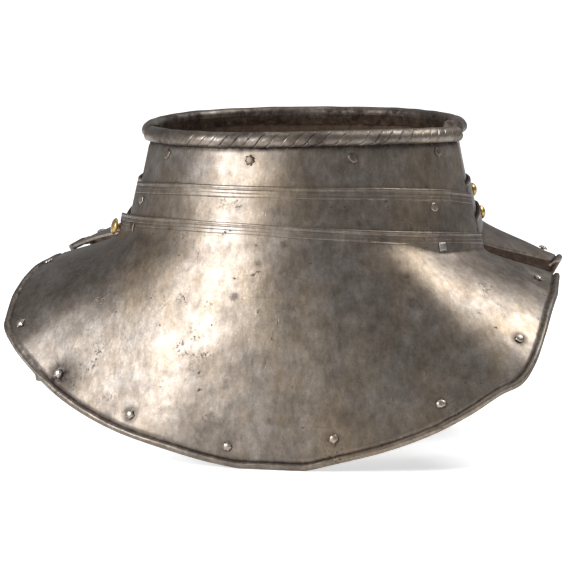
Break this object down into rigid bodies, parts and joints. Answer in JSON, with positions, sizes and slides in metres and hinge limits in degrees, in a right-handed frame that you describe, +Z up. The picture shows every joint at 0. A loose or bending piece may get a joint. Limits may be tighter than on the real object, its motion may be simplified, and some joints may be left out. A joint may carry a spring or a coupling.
{
  "type": "steel gorget",
  "caption": "Steel neck armour of overlapping plates with a roped rim, hinged at the wearer's left and closed by a brass stud at the right.",
  "frame": {"origin": "under the middle of the whole, on the surface that its front and back feet stand on", "axes": "+Z up through the neck opening, -Y the way the wearer faces, +X the wearer's left"},
  "size_m": [0.2858, 0.2298, 0.1744],
  "materials": {
    "steel": "old polished steel with brown patina and pits",
    "rivet": "dark worn steel",
    "brass": "dull worn brass",
    "hinge": "dark rusted iron"
  },
  "bodies": {
    "front_plate": {"front_plate": "steel", "front_edge_rivet_1": "rivet", "front_edge_rivet_2": "rivet", "front_edge_rivet_3": "rivet", "front_edge_rivet_4": "rivet", "front_edge_rivet_5": "rivet", "front_edge_rivet_6": "rivet", "front_edge_rivet_7": "rivet", "front_edge_rivet_8": "rivet", "front_edge_rivet_9": "rivet", "front_lower_side_rivet_left": "rivet", "front_lower_side_rivet_right": "rivet", "hinge_front_leaf": "hinge", "hinge_pin": "hinge"},
    "front_neck_lame": {"front_neck_lame": "steel", "front_upper_side_rivet_left": "rivet", "front_upper_side_rivet_right": "rivet"},
    "front_top_lame": {"front_top_lame": "steel", "front_collar_rivet_1": "rivet", "front_collar_rivet_2": "rivet", "front_collar_rivet_3": "rivet", "front_collar_rivet_4": "rivet"},
    "back_plate": {"back_plate": "steel", "back_edge_rivet_1": "rivet", "back_edge_rivet_2": "rivet", "back_edge_rivet_3": "rivet", "back_edge_rivet_4": "rivet", "back_edge_rivet_5": "rivet", "back_edge_rivet_6": "rivet", "back_edge_rivet_7": "rivet", "back_edge_rivet_8": "rivet", "back_lower_side_rivet_left": "brass", "back_lower_side_rivet_right": "brass", "closing_stud": "brass", "hinge_back_leaf": "hinge"},
    "back_neck_lame": {"back_neck_lame": "steel", "back_upper_side_rivet_left": "brass", "back_upper_side_rivet_right": "brass"},
    "back_top_lame": {"back_top_lame": "steel", "back_collar_rivet_1": "rivet", "back_collar_rivet_2": "rivet", "back_collar_rivet_3": "rivet", "back_collar_rivet_4": "rivet"}
  },
  "joints": [
    {"name": "back_half_hinge", "type": "hinge", "parent": "front_plate", "child": "back_plate", "pos_m": [0.09893, -0.01004, 0.107], "axis": [0.2037, -0.0272, -0.9787], "range_deg": [0, 50]},
    {"name": "front_neck_tilt", "type": "hinge", "parent": "front_plate", "child": "front_neck_lame", "pos_m": [0.0056, -0.05023, 0.11285], "axis": [0.9993, 0.0158, -0.0349], "range_deg": [0, 3]},
    {"name": "front_top_tilt", "type": "hinge", "parent": "front_neck_lame", "child": "front_top_lame", "pos_m": [0.00503, -0.04705, 0.13], "axis": [0.9998, 0.0198, 0], "range_deg": [0, 3]},
    {"name": "back_neck_tilt", "type": "hinge", "parent": "back_plate", "child": "back_neck_lame", "pos_m": [0.00387, 0.02058, 0.1228], "axis": [-1, 0, 0], "range_deg": [0, 2]},
    {"name": "back_top_tilt", "type": "hinge", "parent": "back_neck_lame", "child": "back_top_lame", "pos_m": [0.00387, 0.01957, 0.1347], "axis": [-1, 0, 0], "range_deg": [0, 2]}
  ]
}
